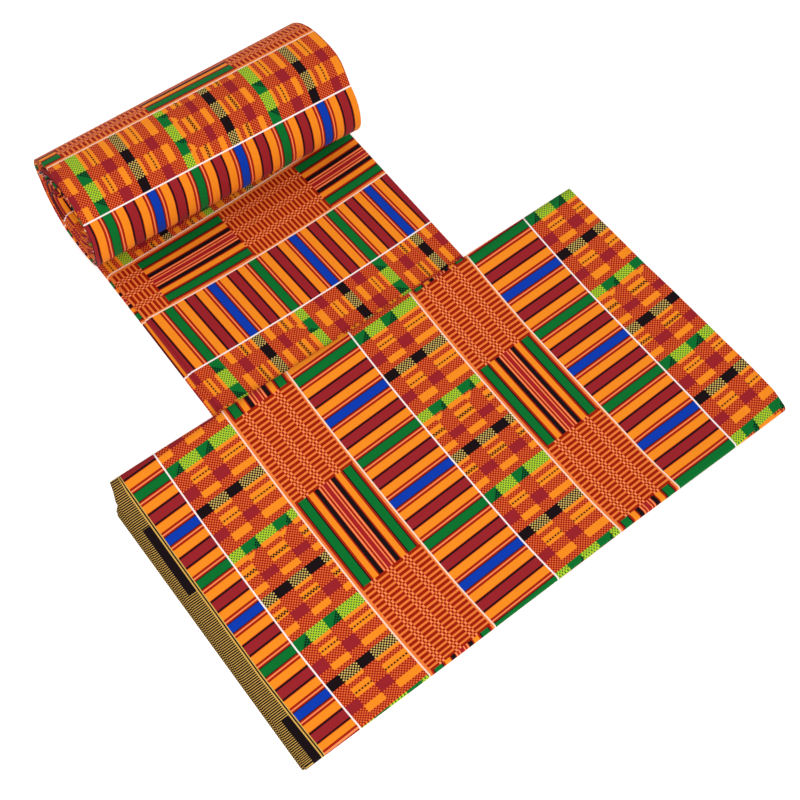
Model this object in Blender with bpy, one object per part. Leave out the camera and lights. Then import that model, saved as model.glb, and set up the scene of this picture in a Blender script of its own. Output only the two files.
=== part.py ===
"""A length of ankara wax-print cotton: one part folded into a flat panel, the rest wound into a roll.

X runs along the panel's long edge from the selvages to the centre fold, Y from the panel to the roll,
and Z is up. The cloth rests on Z = 0 and the origin is under the middle of the whole cloth. Metres.
While it is modelled, X = 0 is the line where the print meets the selvage and Y = 0 is the near fold.
"""
import math

import bmesh
import bpy

MILLIMETRE = 0.001

# The folded panel: doubled cloth laid back and forth
PANEL_WIDTH = 0.5518
PANEL_DEPTH = 0.3215
PANEL_LAYERS = 4
PANEL_SHEET = 0.0014
PANEL_TOP_IN_MIDDLE = 0.0088
PANEL_TOP_AT_FOLDS = 0.0155
PANEL_WAVE = 0.0002
PANEL_WAVE_ROWS = ((19.0, 5.0), (-7.0, 11.0))
FOLD_WAVE = 0.0006
FOLD_WAVE_RATE = 14.0
ROW_CLEARANCE = 0.004
# How far in from each side the folds puff the panel up, and how steeply
NEAR_PUFF = 0.060
FAR_PUFF = 0.110
RIGHT_PUFF = 0.050
PUFF_POWER = 1.6
PANEL_ROWS = (0.010, 0.025, 0.042, 0.060, 0.120, 0.200, 0.225, 0.250, 0.270, 0.290, 0.305)

# Where each layer of the panel starts and stops, the lowest layer first, in millimetres:
# selvage width at the near edge and at the far edge, and how far the layer stops short of the
# centre fold line
LAYER_TABLE = (
    {"near": 21.5, "far": 22.6, "short": 4.0},
    {"near": 20.5, "far": 21.5, "short": 1.0},
    {"near": 19.0, "far": 20.0, "short": 2.5},
    {"near": 16.5, "far": 12.0, "short": 0.0},
)
# How far each turn of the panel's cloth stays inside the panel's outline, in millimetres
TURN_INSETS = {"lowest end": 7.0, "near low": 2.5, "far": 2.0, "near top": 0.0, "top end": 0.0}
CORNER_LENGTH = 0.026
CORNER_SETBACK = 0.002
SHORT_LENGTH = 0.060
# Sections of the panel beside the centre fold, and its rounded edge: distance from the edge in sheet
# thicknesses, and the share of the thickness there
RIGHT_SECTIONS = (0.520, 0.537)
MIDDLE_SECTIONS = (0.200, 0.300)
EDGE_ROUNDING = ((0.50, 1.0), (0.175, 0.72), (0.0, 0.20))

# The strip: the same cloth in three lengthwise layers, from under the panel to the roll
STRIP_LEFT = 0.1067
STRIP_WIDTH = 0.3067
STRIP_LAYERS = 3
STRIP_SHEET = 0.0020
STRIP_GAP = 0.0006
STRIP_START = 0.262
STRIP_STEP = 0.005
STRIP_SECTIONS = (0.300, 0.400, 0.460, 0.500, 0.535)
STRIP_HEIGHT = STRIP_LAYERS * STRIP_SHEET + (STRIP_LAYERS - 1) * STRIP_GAP

# The hidden join: under the panel the strip flattens, and its end rises into the lowest layer
FLAT_SHARE = 0.33
FLAT_FROM = 0.3315
FLAT_TO = 0.255
JOIN_LENGTH = 0.020
JOIN_RISE = 0.0010

# The panel sags to the floor beside the strip and in front of its hidden end
CLEARANCE = 0.0003
SAG_START_GAP = 0.010
SAG_LENGTH = 0.070
SAG_LENGTH_IN_FRONT = 0.050

# The roll, lying across the far end of the strip
ROLL_WIDTH = 0.136
ROLL_HEIGHT = 0.1065
ROLL_TURNS = 3.4
ROLL_PITCH = 0.0110
ROLL_SIDE_LOOSENESS = 1.10
ROLL_CENTRE = 0.573
ROLL_SKEW = math.radians(2.4)
ROLL_FLAT_DROP = 0.0012
STATIONS_PER_TURN = 20
# Off the floor the strip swells to this many times its height, and its layers come level
ROLL_SWELL = 1.25
SWELL_TURNS = 0.25
LEVEL_TURNS = 0.4

# How far the wound cloth slips sideways at its two ends after a number of turns, in millimetres
SLIP_TABLE = (
    {"turn": 0.00, "left": 0.0, "right": 0.0},
    {"turn": 0.25, "left": 1.0, "right": 1.0},
    {"turn": 0.44, "left": 0.0, "right": 3.5},
    {"turn": 0.62, "left": -2.5, "right": -1.0},
    {"turn": 0.75, "left": -7.0, "right": -6.0},
    {"turn": 1.00, "left": -8.0, "right": -4.0},
    {"turn": 1.50, "left": -4.0, "right": -1.0},
    {"turn": 2.00, "left": -7.5, "right": 1.5},
    {"turn": 2.50, "left": -3.0, "right": -1.5},
    {"turn": 3.00, "left": -6.0, "right": 0.5},
    {"turn": 3.60, "left": -2.0, "right": -1.0},
)

FOLD_SEGMENTS = 4
CLOTH_COLOUR = (0.68, 0.20, 0.03, 1.0)
CLOTH_ROUGHNESS = 0.7


def blend(a, b, share):
    """Value at a share of the way from a to b."""
    return a + (b - a) * share


def smooth(low, high, value):
    """Soft step from 0 at low to 1 at high."""
    share = min(1.0, max(0.0, (value - low) / (high - low)))
    return share * share * (3.0 - 2.0 * share)


def over_strip(x, y):
    """1 where the panel lies on the strip, 0 where it lies on the floor, soft between them."""
    left_edge = STRIP_LEFT - SAG_START_GAP
    right_edge = STRIP_LEFT + STRIP_WIDTH + SAG_START_GAP
    near_edge = STRIP_START - SAG_START_GAP
    left = smooth(left_edge - SAG_LENGTH, left_edge, x)
    right = 1.0 - smooth(right_edge, right_edge + SAG_LENGTH, x)
    near = smooth(near_edge - SAG_LENGTH_IN_FRONT, near_edge, y)
    return left * right * near


def strip_share(y):
    """Share of the strip's full height at y: less under the panel, where it is pressed flat."""
    return blend(FLAT_SHARE, 1.0, smooth(FLAT_TO, FLAT_FROM, y))


def puff(x, y):
    """0 in the flat middle of the panel and 1 along its folded sides."""
    near = max(0.0, 1.0 - y / NEAR_PUFF) ** PUFF_POWER
    far = max(0.0, 1.0 - (PANEL_DEPTH - y) / FAR_PUFF) ** PUFF_POWER
    right = max(0.0, 1.0 - (PANEL_WIDTH - x) / RIGHT_PUFF) ** PUFF_POWER
    return 1.0 - (1.0 - min(near, 1.0)) * (1.0 - min(far, 1.0)) * (1.0 - min(right, 1.0))


def layer_height(layer, x, y):
    """Height of the middle of one of the panel's layers."""
    low = over_strip(x, y) * (STRIP_HEIGHT * strip_share(y) + CLEARANCE)
    first, second = [rate_x * x + rate_y * y for rate_x, rate_y in PANEL_WAVE_ROWS]
    wave = PANEL_WAVE * math.sin(first) * math.cos(second)
    high = blend(PANEL_TOP_IN_MIDDLE, PANEL_TOP_AT_FOLDS, puff(x, y)) + wave
    spacing = (high - low - PANEL_SHEET) / (PANEL_LAYERS - 1)
    return low + PANEL_SHEET / 2 + layer * spacing


def turn_edge(name, x):
    """Y of a turn of the panel's cloth, a little wavy along its length."""
    inset = TURN_INSETS[name] * MILLIMETRE
    wave = FOLD_WAVE * math.sin(FOLD_WAVE_RATE * x + 2.0 * len(name))
    return inset + wave if name.startswith("near") else PANEL_DEPTH - inset - wave


def layer_run(layer, x, start, stop):
    """Points of one layer from start to stop."""
    low, high = min(start, stop), max(start, stop)
    inner = [y for y in PANEL_ROWS if low + ROW_CLEARANCE < y < high - ROW_CLEARANCE]
    ys = [low] + inner + [high]
    if start > stop:
        ys.reverse()
    return [(y, layer_height(layer, x, y), layer) for y in ys]


def panel_line(x):
    """Middle line of the panel's cloth at x: (y, z, layer) from its lowest end to its top end."""
    turns = (
        ("near low", 0, -1),
        ("far", 1, 1),
        ("near top", 2, -1),
    )
    line = []
    start = turn_edge("lowest end", x)
    for name, layer, side in turns:
        edge = turn_edge(name, x)
        below = layer_height(layer, x, edge)
        above = layer_height(layer + 1, x, edge)
        radius = (above - below) / 2
        line += layer_run(layer, x, start, edge - side * radius)
        for step in range(1, FOLD_SEGMENTS):
            angle = math.pi * (step / FOLD_SEGMENTS - 0.5)
            y = edge - side * radius + side * radius * math.cos(angle)
            z = (below + above) / 2 + radius * math.sin(angle)
            line.append((y, z, layer + step / FOLD_SEGMENTS))
        start = edge - side * radius
    line += layer_run(PANEL_LAYERS - 1, x, start, turn_edge("top end", x))
    return line


def thicken(line, thickness):
    """Closed outline around a line of (a, b, ...) points; what follows a and b is kept."""
    one_side, other_side = [], []
    for index, point in enumerate(line):
        before = line[max(index - 1, 0)]
        after = line[min(index + 1, len(line) - 1)]
        run, rise = after[0] - before[0], after[1] - before[1]
        length = math.hypot(run, rise)
        across = (-rise / length * thickness / 2, run / length * thickness / 2)
        one_side.append((point[0] + across[0], point[1] + across[1]) + tuple(point[2:]))
        other_side.append((point[0] - across[0], point[1] - across[1]) + tuple(point[2:]))
    return one_side + other_side[::-1]


def layer_value(column, layer):
    """A column of the layer table, in metres, also between two layers."""
    low = min(int(layer), PANEL_LAYERS - 2)
    return blend(LAYER_TABLE[low][column], LAYER_TABLE[low + 1][column], layer - low) * MILLIMETRE


def selvage_end(layer, y):
    """X of a layer's selvage edge; the lower layers draw in to the top one at the far corner."""
    share = min(1.0, max(0.0, y / PANEL_DEPTH))
    own = blend(layer_value("near", layer), layer_value("far", layer), share)
    top = blend(LAYER_TABLE[-1]["near"], LAYER_TABLE[-1]["far"], share) * MILLIMETRE
    corner = smooth(PANEL_DEPTH - CORNER_LENGTH, PANEL_DEPTH - CORNER_LENGTH / 2, y)
    return -blend(own, top - CORNER_SETBACK, corner)


def panel_stations():
    """(share of the way across, thickness share) for each section of the panel."""
    left_edge = STRIP_LEFT - SAG_START_GAP
    right_edge = STRIP_LEFT + STRIP_WIDTH + SAG_START_GAP
    xs = [0.0, left_edge - SAG_LENGTH, left_edge - SAG_LENGTH / 2, left_edge, *MIDDLE_SECTIONS,
          right_edge, right_edge + SAG_LENGTH / 2, right_edge + SAG_LENGTH, *RIGHT_SECTIONS]
    stations = [(x, 1.0) for x in xs]
    for inset, thickness in EDGE_ROUNDING:
        stations.append((PANEL_WIDTH - inset * PANEL_SHEET, thickness))
    return stations


def add_sections(mesh, sections):
    """Skin a row of closed sections of equal length and close both ends."""
    rings = [[mesh.verts.new(point) for point in section] for section in sections]
    count = len(rings[0])
    for ring, following in zip(rings, rings[1:]):
        for index in range(count):
            nearby = (index + 1) % count
            mesh.faces.new((ring[index], ring[nearby], following[nearby], following[index]))
    half = count // 2
    for ring, first in ((rings[0], True), (rings[-1], False)):
        for index in range(half - 1):
            corners = [ring[index], ring[index + 1], ring[count - 2 - index], ring[count - 1 - index]]
            mesh.faces.new(corners[::-1] if first else corners)
    bmesh.ops.recalc_face_normals(mesh, faces=mesh.faces)


def panel_sections():
    """Sections of the folded panel from the selvages to the centre fold."""
    sections = []
    for index, (x, thickness) in enumerate(panel_stations()):
        outline = thicken(panel_line(x), PANEL_SHEET * thickness)
        section = []
        for y, z, layer in outline:
            short = layer_value("short", layer) * smooth(PANEL_WIDTH - SHORT_LENGTH, PANEL_WIDTH, x)
            place = selvage_end(layer, y) if index == 0 else x - short
            section.append((place, y, z))
        sections.append(section)
    return sections


def strip_outline(step):
    """Section of the strip: (across, height) around its three layers; the left fold lies in by step."""
    spacing = STRIP_SHEET + STRIP_GAP
    radius = spacing / 2
    line = [(0.0, STRIP_SHEET / 2)]
    for layer, side in ((0, 1), (1, -1)):
        middle = STRIP_SHEET / 2 + layer * spacing
        turn = STRIP_WIDTH - radius if side > 0 else step + radius
        line.append((turn, middle))
        for part in range(1, FOLD_SEGMENTS):
            angle = math.pi * (part / FOLD_SEGMENTS - 0.5)
            line.append((turn + side * radius * math.cos(angle), middle + radius + radius * math.sin(angle)))
        line.append((turn, middle + spacing))
    line.append((STRIP_WIDTH, STRIP_SHEET / 2 + 2 * spacing))
    return thicken(line, STRIP_SHEET)


def roll_point(turn):
    """Outer face of the wound strip after a number of turns: (y, z) and the direction inwards."""
    angle = 2 * math.pi * turn - math.pi / 2
    depth = turn * ROLL_PITCH
    half_width = (ROLL_WIDTH + ROLL_PITCH * ROLL_SIDE_LOOSENESS) / 2 - depth * ROLL_SIDE_LOOSENESS
    half_height = (ROLL_HEIGHT + ROLL_PITCH / 2 + ROLL_FLAT_DROP) / 2 - depth
    middle = (ROLL_HEIGHT + ROLL_PITCH / 2 + ROLL_FLAT_DROP) / 2 - ROLL_FLAT_DROP
    y = ROLL_CENTRE + half_width * math.cos(angle)
    z = max(depth, middle + half_height * math.sin(angle))
    normal = (half_height * math.cos(angle), half_width * math.sin(angle))
    length = math.hypot(*normal)
    if z <= depth + 1e-9:
        return (y, z), (0.0, 1.0)
    return (y, z), (-normal[0] / length, -normal[1] / length)


def slip(column, turn):
    """Sideways slip of the wound cloth after a number of turns, in metres."""
    after = next(index for index, row in enumerate(SLIP_TABLE) if row["turn"] > turn)
    before, following = SLIP_TABLE[after - 1], SLIP_TABLE[after]
    share = smooth(before["turn"], following["turn"], turn)
    return blend(before[column], following[column], share) * MILLIMETRE


def strip_stations():
    """One row for each section of the strip: its place, its direction and its share of the skew."""
    rows = []
    runs = (STRIP_START, STRIP_START + JOIN_LENGTH / 2, STRIP_START + JOIN_LENGTH, PANEL_DEPTH, FLAT_FROM,
            *STRIP_SECTIONS)
    for y in sorted(runs):
        rise = JOIN_RISE * (1.0 - smooth(STRIP_START, STRIP_START + JOIN_LENGTH, y))
        share = strip_share(y) + rise / STRIP_HEIGHT
        skew = smooth(PANEL_DEPTH, ROLL_CENTRE, y)
        rows.append({"point": (y, 0.0), "inward": (0.0, 1.0), "share": share, "skew": skew, "turn": 0.0})
    for index in range(int(ROLL_TURNS * STATIONS_PER_TURN) + 1):
        turn = index / STATIONS_PER_TURN
        point, inward = roll_point(turn)
        share = blend(1.0, ROLL_SWELL, smooth(0.0, SWELL_TURNS, turn))
        rows.append({"point": point, "inward": inward, "share": share, "skew": 1.0, "turn": turn})
    return rows


def strip_sections():
    """Sections of the strip from its hidden start, along the floor and round the roll."""
    sections = []
    for row in strip_stations():
        step = STRIP_STEP * (1.0 - smooth(0.0, LEVEL_TURNS, row["turn"]))
        section = []
        for across, height in strip_outline(step):
            share = across / STRIP_WIDTH
            sideways = blend(slip("left", row["turn"]), slip("right", row["turn"]), share)
            back = math.tan(ROLL_SKEW) * (STRIP_WIDTH / 2 - across) * row["skew"]
            lift = height * row["share"]
            section.append((
                STRIP_LEFT + across + sideways,
                row["point"][0] + lift * row["inward"][0] + back,
                row["point"][1] + lift * row["inward"][1],
            ))
        sections.append(section)
    return sections


def make_object(name, sections, material):
    """One closed body skinned over the given sections."""
    mesh = bmesh.new()
    add_sections(mesh, sections)
    data = bpy.data.meshes.new(name)
    mesh.to_mesh(data)
    mesh.free()
    data.materials.append(material)
    body = bpy.data.objects.new(name, data)
    bpy.context.scene.collection.objects.link(body)
    return body


def printed_cotton():
    """Plain warm stand-in for the print, with the low gloss of waxed cotton."""
    material = bpy.data.materials.new("wax_print_cotton")
    material.use_nodes = True
    shader = material.node_tree.nodes["Principled BSDF"]
    shader.inputs["Base Color"].default_value = CLOTH_COLOUR
    shader.inputs["Roughness"].default_value = CLOTH_ROUGHNESS
    shader.inputs["Metallic"].default_value = 0.0
    return material


def centre_on_floor(data):
    """Move the mesh so that the origin is under the middle of its box."""
    xs = [vertex.co.x for vertex in data.vertices]
    ys = [vertex.co.y for vertex in data.vertices]
    middle_x = (min(xs) + max(xs)) / 2
    middle_y = (min(ys) + max(ys)) / 2
    for vertex in data.vertices:
        vertex.co.x -= middle_x
        vertex.co.y -= middle_y


def fuse(body, other):
    """Make one body of two and drop the second."""
    union = body.modifiers.new("one_cloth", "BOOLEAN")
    union.operation = "UNION"
    union.solver = "EXACT"
    union.object = other
    bpy.context.view_layer.update()
    graph = bpy.context.evaluated_depsgraph_get()
    fused = bpy.data.meshes.new_from_object(body.evaluated_get(graph))
    body.modifiers.clear()
    body.data = fused
    bpy.data.objects.remove(other)


def build():
    """Clear the scene and make the cloth."""
    for leftover in list(bpy.data.objects):
        bpy.data.objects.remove(leftover)
    material = printed_cotton()
    cloth = make_object("cloth", panel_sections(), material)
    strip = make_object("strip", strip_sections(), material)
    fuse(cloth, strip)
    centre_on_floor(cloth.data)


build()
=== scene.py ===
"""Ankara fabric: wax-print cotton folded into a flat panel, with a strip of it wound into a loose roll.

Run as a script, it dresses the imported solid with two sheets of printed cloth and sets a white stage,
soft light and a camera. Metres. While a sheet is shaped, X = 0 is the line where the print meets
the selvage, Y = 0 is the panel's near fold and Z = 0 is the floor.
"""

import math
from functools import partial

import bpy
from bpy.props import FloatProperty, FloatVectorProperty, IntProperty, PointerProperty
from bpy.types import Operator, Panel, PropertyGroup
from mathutils import Matrix, Vector


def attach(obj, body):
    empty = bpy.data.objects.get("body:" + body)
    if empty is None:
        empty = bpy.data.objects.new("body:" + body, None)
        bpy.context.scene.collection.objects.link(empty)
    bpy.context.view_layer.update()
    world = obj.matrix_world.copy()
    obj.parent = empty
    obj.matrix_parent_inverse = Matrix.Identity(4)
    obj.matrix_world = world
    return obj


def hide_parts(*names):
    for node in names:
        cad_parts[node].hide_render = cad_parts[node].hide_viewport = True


bl_info = {
    "name": "Ankara fabric",
    "version": (1, 0, 0),
    "blender": (4, 5, 0),
    "location": "View3D > Sidebar > Ankara fabric",
    "description": "A folded panel and a loose roll of wax-print cotton on a white stage",
    "category": "Add Mesh",
}

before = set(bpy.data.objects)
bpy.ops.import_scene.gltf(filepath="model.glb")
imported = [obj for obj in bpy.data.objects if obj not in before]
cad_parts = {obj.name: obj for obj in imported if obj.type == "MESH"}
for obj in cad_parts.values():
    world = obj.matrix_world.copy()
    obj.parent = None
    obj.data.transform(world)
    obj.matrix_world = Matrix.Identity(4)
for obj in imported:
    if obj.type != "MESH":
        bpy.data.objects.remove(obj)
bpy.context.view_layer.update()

MILLIMETRE = 0.001
METRE_IN_MM = 1000.0
CLOTH_MAP = "cloth_metres"

# The middle of the whole cloth's box, seen from the start of the print and the panel's near fold
MIDDLE = Vector((0.264654, 0.325246, 0.0))

# The panel's folds
PANEL_LAYERS = 4
PANEL_SHEET = 0.0014
PANEL_WAVE = 0.0002
PANEL_RIPPLES = 12.0
FOLD_WAVE = 0.0006
FOLD_RIPPLES = 14.0
SHORT_REACH = 0.06
TOP_FOLD = PANEL_LAYERS - 1.5
NEAR_PUFF = 0.060
FAR_PUFF = 0.110
RIGHT_PUFF = 0.050
PUFF_POWER = 1.6
TURN_INSETS = {"lowest end": 7.0, "near low": 2.5, "far": 2.0, "near top": 0.0, "top end": 0.0}

# How far the near and far edges draw in along the panel, and how far the centre fold bows outwards:
# metres along the edge and millimetres
NEAR_INSETS = ((0.0, 1.2), (0.2, 1.0), (0.3, 0.5), (0.42, 0.0))
FAR_INSETS = ((0.0, -2.2), (0.1, -1.5), (0.2, -0.5), (0.3, 0.0))
RIGHT_BOWS = ((0.0, 0.0), (0.022, 4.0), (0.05, 4.4), (0.10, 3.4), (0.15, 2.6), (0.22, 0.8), (0.30, 0.0))
BOW_REACH = 0.09

# The two plies of each layer lie this far from its middle, more where the folds puff up
PLY_OFFSET = 0.00042
PLY_OFFSET_PUFF = 0.00040

# Where each layer of the panel ends, the lowest first, in millimetres: how far its selvage reaches
# past the print at the near edge and at the far edge, and how far it stops short of the centre fold
LAYER_TABLE = (
    {"near": 19.2, "far": 21.8, "short": 4.0},
    {"near": 18.6, "far": 20.8, "short": 1.0},
    {"near": 18.0, "far": 19.6, "short": 2.5},
    {"near": 16.5, "far": 17.0, "short": 0.0},
)
SELVAGE = 0.017

# At the far corner the lower layers stop short and the top one draws in
CORNER_LENGTH = 0.0175
CORNER_STEP = 0.0050
CORNER_REACH = 0.0108
LOWER_CORNER_REACH = 0.0100

# The strip's six plies, and how far each ply's ends lie in from the outermost one, in millimetres
STRIP_PLIES = 6
STRIP_LEFT = 0.1067
STRIP_START = 0.262
STRIP_LEFT_ENDS = (0.0, 1.0, 1.0, 5.0, 5.0, 8.0)
STRIP_LEFT_ENDS_AT_ROLL = (0.0, 0.6, 0.6, 2.0, 2.0, 3.4)
STRIP_RIGHT_ENDS = (0.0, 0.0, 1.5, 1.5, 0.5, 0.5)
LEFT_ENDS_FROM = 0.455
LEFT_ENDS_TO = 0.520
FLAT_SHARE = 0.33
FLAT_FROM = 0.3315
FLAT_TO = 0.255
CLEARANCE = 0.0003
SAG_START_GAP = 0.010
SAG_LENGTH = 0.070
SAG_LENGTH_IN_FRONT = 0.050

# The roll
ROLL_PITCH = 0.0110
ROLL_SIDE_LOOSENESS = 1.10
ROLL_CENTRE = 0.573
ROLL_SKEW = math.radians(2.4)
ROLL_FLAT_DROP = 0.0012
ROLL_LOOSENESS = 1.25
LOOSE_FROM_TURN = 0.25

# How far the wound cloth slips sideways at its two ends: turns, left and right in millimetres
SLIP_TABLE = (
    (0.00, 0.0, 0.0),
    (0.25, 1.5, 1.0),
    (0.44, 1.3, 4.5),
    (0.54, -0.8, 5.0),
    (0.64, -2.6, -1.0),
    (0.75, -6.6, -3.6),
    (1.00, -4.5, -4.0),
    (1.25, -1.0, -2.0),
    (1.50, 0.5, -1.0),
    (2.00, -3.5, 1.5),
    (2.25, 0.0, 0.5),
    (2.50, 1.0, -1.5),
    (3.00, -2.5, 0.5),
    (3.60, -1.0, -1.0),
)

# The printed bands across the cloth: a row of crossing checks, a row of long patches, a row of stripes
SELVAGE_TO_CHECKS = 39.3
CHECKS_WIDTH = 76.4
PATCHES_WIDTH = 74.2
STRIPES_WIDTH = 74.7
REPEAT = CHECKS_WIDTH + PATCHES_WIDTH + STRIPES_WIDTH
PRINT_WIDTH = 5 * REPEAT
LINE_WIDTH = 1.6
PRINTED_LINES = (
    (0.0, "white"), (CHECKS_WIDTH, "cream"), (CHECKS_WIDTH + PATCHES_WIDTH, "cream"), (REPEAT, "white"),
)

# Along the cloth the print repeats after two green rows
ROW_PERIOD = 102.4
FULL_PERIOD = 2 * ROW_PERIOD
CELL_ROWS = 62
CELL = ROW_PERIOD / CELL_ROWS

WAX_PRINT = {
    "orange": "#FA8E1E",
    "pale_orange": "#F07C34",
    "check_orange": "#F07236",
    "check_red": "#A41A08",
    "bar_red": "#A01C00",
    "dark_red": "#A82008",
    "patch_red": "#A81E20",
    "salmon": "#FF8C54",
    "maroon": "#9A2128",
    "black": "#160A0E",
    "green": "#04702C",
    "dark_green": "#03201A",
    "lime": "#B6D22C",
    "blue": "#063AB0",
    "gold": "#E8C66C",
    "selvage_gold": "#DCAE54",
    "white": "#FFF0EE",
    "cream": "#FFD9C4",
}


def linear(code):
    """Linear colour of an sRGB hex code."""
    parts = [int(code[place:place + 2], 16) / 255 for place in (1, 3, 5)]
    return [part / 12.92 if part <= 0.04045 else ((part + 0.055) / 1.055) ** 2.4 for part in parts]


def blend(a, b, share):
    """Value at a share of the way from a to b."""
    return a + (b - a) * share


def smooth(low, high, value):
    """Soft step from 0 at low to 1 at high."""
    share = min(1.0, max(0.0, (value - low) / (high - low)))
    return share * share * (3.0 - 2.0 * share)


def through(points, value):
    """Value at a place of the parabola through three (place, value) points."""
    total = 0.0
    for index, (place, height) in enumerate(points):
        weight = 1.0
        for other, (away, _) in enumerate(points):
            if other != index:
                weight *= (value - away) / (place - away)
        total += weight * height
    return total


def spaced(start, stop, count):
    """Evenly spaced values from start to stop."""
    return [blend(start, stop, step / (count - 1)) for step in range(count)]


def table_value(rows, column, place):
    """Value of a column of a table whose first column rises, soft between its rows."""
    place = min(max(place, rows[0][0]), rows[-1][0])
    for row, following in zip(rows, rows[1:]):
        if place <= following[0]:
            share = smooth(row[0], following[0], place)
            return blend(row[column], following[column], share)
    return rows[-1][column]


def over_strip(x, y, strip):
    """1 where the panel lies on the strip, 0 where it lies on the floor, soft between them."""
    left_edge = STRIP_LEFT - SAG_START_GAP
    right_edge = STRIP_LEFT + strip.width + SAG_START_GAP
    near_edge = STRIP_START - SAG_START_GAP
    left = smooth(left_edge - SAG_LENGTH, left_edge, x)
    right = 1.0 - smooth(right_edge, right_edge + SAG_LENGTH, x)
    near = smooth(near_edge - SAG_LENGTH_IN_FRONT, near_edge, y)
    return left * right * near


def strip_share(y):
    """Share of the strip's full height at y: less under the panel, where it is pressed flat."""
    return blend(FLAT_SHARE, 1.0, smooth(FLAT_TO, FLAT_FROM, y))


def puff(x, y, panel):
    """0 in the flat middle of the panel and 1 along its folded sides."""
    near = max(0.0, 1.0 - y / NEAR_PUFF) ** PUFF_POWER
    far = max(0.0, 1.0 - (panel.depth - y) / FAR_PUFF) ** PUFF_POWER
    right = max(0.0, 1.0 - (panel.width - x) / RIGHT_PUFF) ** PUFF_POWER
    return 1.0 - (1.0 - min(near, 1.0)) * (1.0 - min(far, 1.0)) * (1.0 - min(right, 1.0))


def layer_height(layer, x, y, panel, strip):
    """Height of the middle of one of the panel's layers."""
    low = over_strip(x, y, strip) * (strip.height * strip_share(y) + CLEARANCE)
    wave = PANEL_WAVE * math.sin(PANEL_RIPPLES * (x + y)) * math.cos(PANEL_RIPPLES * (y - x))
    high = blend(panel.height_in_middle, panel.height_at_folds, puff(x, y, panel)) + wave
    spacing = (high - low - PANEL_SHEET) / (PANEL_LAYERS - 1)
    return low + PANEL_SHEET / 2 + layer * spacing


def turn_edge(name, x, panel):
    """Y of a turn of the panel's cloth, a little wavy along its length."""
    edge_insets = NEAR_INSETS if name.startswith("near") else FAR_INSETS
    inset = (TURN_INSETS[name] + table_value(edge_insets, 1, x)) * MILLIMETRE
    wave = FOLD_WAVE * math.sin(FOLD_RIPPLES * x + list(TURN_INSETS).index(name))
    return inset + wave if name.startswith("near") else panel.depth - inset - wave


def panel_line(x, panel, strip):
    """Middle line of the panel's cloth at x: rows of y, z and layer, from its lowest end to its top end."""
    line = []
    start = turn_edge("lowest end", x, panel)
    for name, layer, side in (("near low", 0, -1), ("far", 1, 1), ("near top", 2, -1)):
        edge = turn_edge(name, x, panel)
        below = layer_height(layer, x, edge, panel, strip)
        above = layer_height(layer + 1, x, edge, panel, strip)
        radius = (above - below) / 2
        stop = edge - side * radius
        line += [(y, layer_height(layer, x, y, panel, strip), layer)
                 for y in spaced(start, stop, panel.rows)]
        for step in range(1, panel.fold_steps):
            angle = math.pi * (step / panel.fold_steps - 0.5)
            y = stop + side * radius * math.cos(angle)
            z = (below + above) / 2 + radius * math.sin(angle)
            line.append((y, z, layer + step / panel.fold_steps))
        start = stop
    layer = PANEL_LAYERS - 1
    line += [(y, layer_height(layer, x, y, panel, strip), layer)
             for y in spaced(start, turn_edge("top end", x, panel), panel.rows)]
    return line


def with_normals(line):
    """The line's points with a unit normal on their left and the length run so far."""
    rows = []
    run = 0.0
    for index, point in enumerate(line):
        before = line[max(index - 1, 0)]
        after = line[min(index + 1, len(line) - 1)]
        step = math.hypot(point[0] - before[0], point[1] - before[1])
        length = math.hypot(after[0] - before[0], after[1] - before[1])
        run += step
        normal = (-(after[1] - before[1]) / length, (after[0] - before[0]) / length)
        rows.append({"y": point[0], "z": point[1], "layer": point[2], "normal": normal, "run": run})
    return rows


def layer_value(column, layer):
    """A column of the layer table in metres, also between two layers."""
    low = min(int(layer), PANEL_LAYERS - 2)
    return blend(LAYER_TABLE[low][column], LAYER_TABLE[low + 1][column], layer - low) * MILLIMETRE


def selvage_reach(layer, y, panel):
    """How far a layer's selvage reaches past the print, drawn in at the far corner."""
    share = min(1.0, max(0.0, y / panel.depth))
    own = blend(layer_value("near", layer), layer_value("far", layer), share)
    corner_start = panel.depth - CORNER_LENGTH
    if layer > TOP_FOLD:
        return blend(own, CORNER_REACH, min(1.0, max(0.0, (y - corner_start) / CORNER_LENGTH)))
    return blend(own, LOWER_CORNER_REACH, smooth(corner_start, corner_start + CORNER_STEP, y))


# Where the middles of three green rows cross three places along the panel, in metres
GREEN_ROWS = (
    (0.02, (0.0922, 0.1936, 0.2977)),
    (0.22, (0.0996, 0.2024, 0.3066)),
    (0.45, (0.1061, 0.2087, 0.3146)),
)

# How far the print lies towards the selvage from its even place: across the panel in metres and
# millimetres, and its share at three places along the panel, where the cloth is drawn a little askew
PRINT_SHIFTS = ((0.0, 0.0), (0.04, 2.8), (0.26, 3.1), (0.42, 3.1), (0.50, 1.1), (0.56, 0.0))
SHIFT_SHARES = ((0.03, 0.72), (0.17, 1.08), (0.31, 0.74))

# How the cloth is drawn askew towards the near edge: place across the panel in metres, how far the
# print lies from its even place at the edge in millimetres, and how far in that reaches, in metres
ALONG_PULLS = ((0.0, -2.3, 0.012), (0.08, -1.8, 0.012), (0.36, 0.0, 0.03), (0.50, 4.7, 0.085))
ACROSS_PULLS = ((0.0, -3.0, 0.09), (0.08, -1.6, 0.09), (0.36, 0.0, 0.09), (0.50, 3.8, 0.06))


def pull(table, x, y):
    """How far the print is drawn from its even place, in metres, at a point of the panel."""
    share = min(1.0, max(0.0, 1.0 - y / table_value(table, 2, x)))
    return table_value(table, 1, x) * share * MILLIMETRE


def panel_weft(x, y):
    """Place across the print of a point on the panel's top layer, in metres."""
    even = x + table_value(PRINT_SHIFTS, 1, x) * through(SHIFT_SHARES, y) * MILLIMETRE
    return even + pull(ACROSS_PULLS, x, y)


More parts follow.
